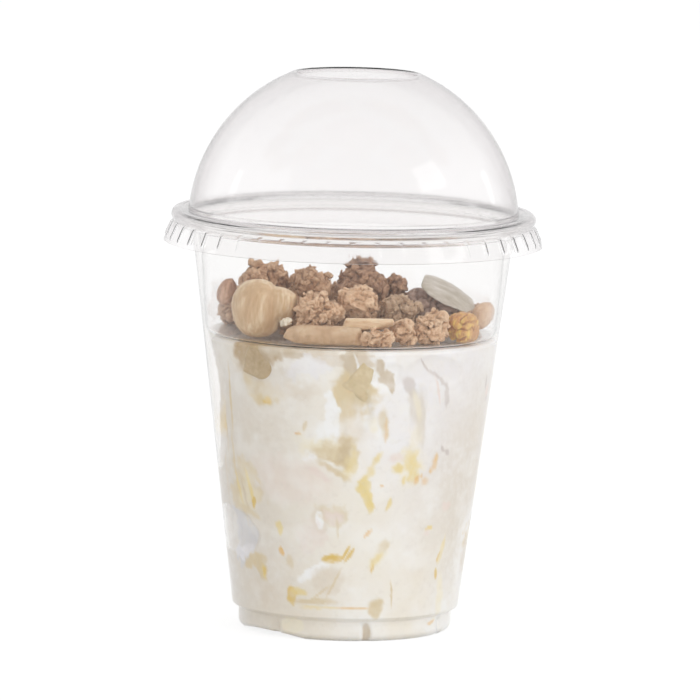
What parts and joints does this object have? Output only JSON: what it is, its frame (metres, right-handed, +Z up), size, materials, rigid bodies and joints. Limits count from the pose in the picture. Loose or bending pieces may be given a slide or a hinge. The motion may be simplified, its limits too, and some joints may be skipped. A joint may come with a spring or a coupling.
{
  "type": "plastic cup with lid",
  "caption": "Clear tapered dessert cup filled with fruit cream, with a clear topping tray of granola and nuts in its mouth and a clear dome lid with a round hole",
  "frame": {"origin": "Middle of the foot, on the surface that the cup stands on", "axes": "+Z up the cup's axis to the hole in the dome, -Y toward the front, +X to its right"},
  "size_m": [0.102, 0.102, 0.1499],
  "materials": {
    "cup_sheet": "gloss",
    "tray_sheet": "gloss",
    "lid_sheet": "gloss",
    "cream": "satin",
    "peach": "satin",
    "granola": "rough",
    "pale_nut": "satin",
    "brown_almond": "satin",
    "biscuit": "satin",
    "coconut": "satin",
    "golden_raisin": "satin",
    "dark_fruit": "satin",
    "pumpkin_seed": "satin"
  },
  "bodies": {
    "cup": {"cup": "cup_sheet", "cream": "cream", "peach_1": "peach", "peach_2": "peach", "peach_3": "peach", "peach_4": "peach", "peach_5": "peach", "peach_6": "peach", "peach_7": "peach", "peach_8": "peach", "peach_9": "peach", "peach_10": "peach"},
    "tray": {"topping_tray": "tray_sheet", "blanched_nut": "pale_nut", "blanched_half": "pale_nut", "brown_almond": "brown_almond", "biscuit_chip": "biscuit", "coconut_strip": "coconut", "golden_raisin": "golden_raisin", "dark_raisin": "dark_fruit", "tan_nut": "pale_nut", "pumpkin_seed": "pumpkin_seed", "granola_1": "granola", "granola_2": "granola", "granola_3": "granola", "granola_4": "granola", "granola_5": "granola", "granola_6": "granola", "granola_7": "granola", "granola_8": "granola", "granola_9": "granola", "granola_10": "granola", "granola_11": "granola", "granola_12": "granola", "granola_13": "granola", "granola_14": "granola", "granola_15": "granola", "granola_16": "granola", "granola_17": "granola", "granola_18": "granola", "granola_19": "granola", "granola_20": "granola", "granola_21": "granola", "granola_22": "granola", "granola_23": "granola", "cranberry": "dark_fruit"},
    "lid": {"dome_lid": "lid_sheet"}
  },
  "joints": [
    {"name": "tray_lift", "type": "slide", "parent": "cup", "child": "tray", "axis": [0, 0, 1], "range_m": [0, 0.04]},
    {"name": "lid_lift", "type": "slide", "parent": "tray", "child": "lid", "axis": [0, 0, 1], "range_m": [0, 0.05]}
  ]
}
